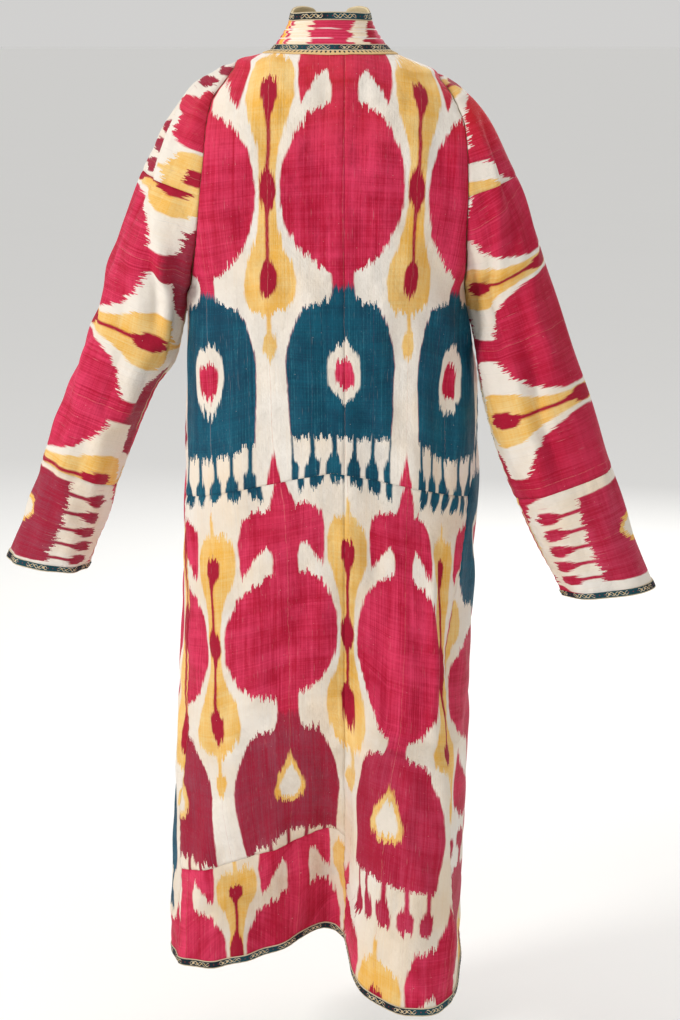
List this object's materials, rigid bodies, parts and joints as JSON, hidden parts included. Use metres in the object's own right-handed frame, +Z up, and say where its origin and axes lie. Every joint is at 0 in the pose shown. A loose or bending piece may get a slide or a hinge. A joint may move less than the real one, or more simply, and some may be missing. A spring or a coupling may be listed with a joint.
{
  "type": "chapan robe",
  "caption": "Long open-fronted robe with long sleeves, a stand collar that runs on as bands down the chest, and taped edges; hollow and filled out as when worn.",
  "frame": {"origin": "on the line of the shoulders, below the middle of the neck, where a wearer or a stand holds the robe", "axes": "+Z up, +Y towards the wearer's back, +X towards the wearer's left"},
  "size_m": [0.8499, 0.3472, 1.2656],
  "materials": {
    "ikat_cloth": "silk and cotton ikat, crimson, teal and yellow on cream, softly lustrous",
    "trim_tape": "narrow woven tape, dark blue-black with cream scrolls"
  },
  "bodies": {
    "root": {"back_hem_piece": "ikat_cloth", "back_lower_left": "ikat_cloth", "back_lower_right": "ikat_cloth", "back_upper_left": "ikat_cloth", "back_upper_right": "ikat_cloth", "collar": "ikat_cloth", "collar_base_tape": "trim_tape", "collar_edge_tape": "trim_tape", "cuff_tape_left": "trim_tape", "cuff_tape_right": "trim_tape", "front_left": "ikat_cloth", "front_right": "ikat_cloth", "front_tape_left": "trim_tape", "front_tape_right": "trim_tape", "hem_tape": "trim_tape", "side_left": "ikat_cloth", "side_right": "ikat_cloth", "sleeve_cuff_left": "ikat_cloth", "sleeve_cuff_right": "ikat_cloth", "sleeve_middle_left": "ikat_cloth", "sleeve_middle_right": "ikat_cloth", "sleeve_upper_left": "ikat_cloth", "sleeve_upper_right": "ikat_cloth"}
  },
  "joints": []
}
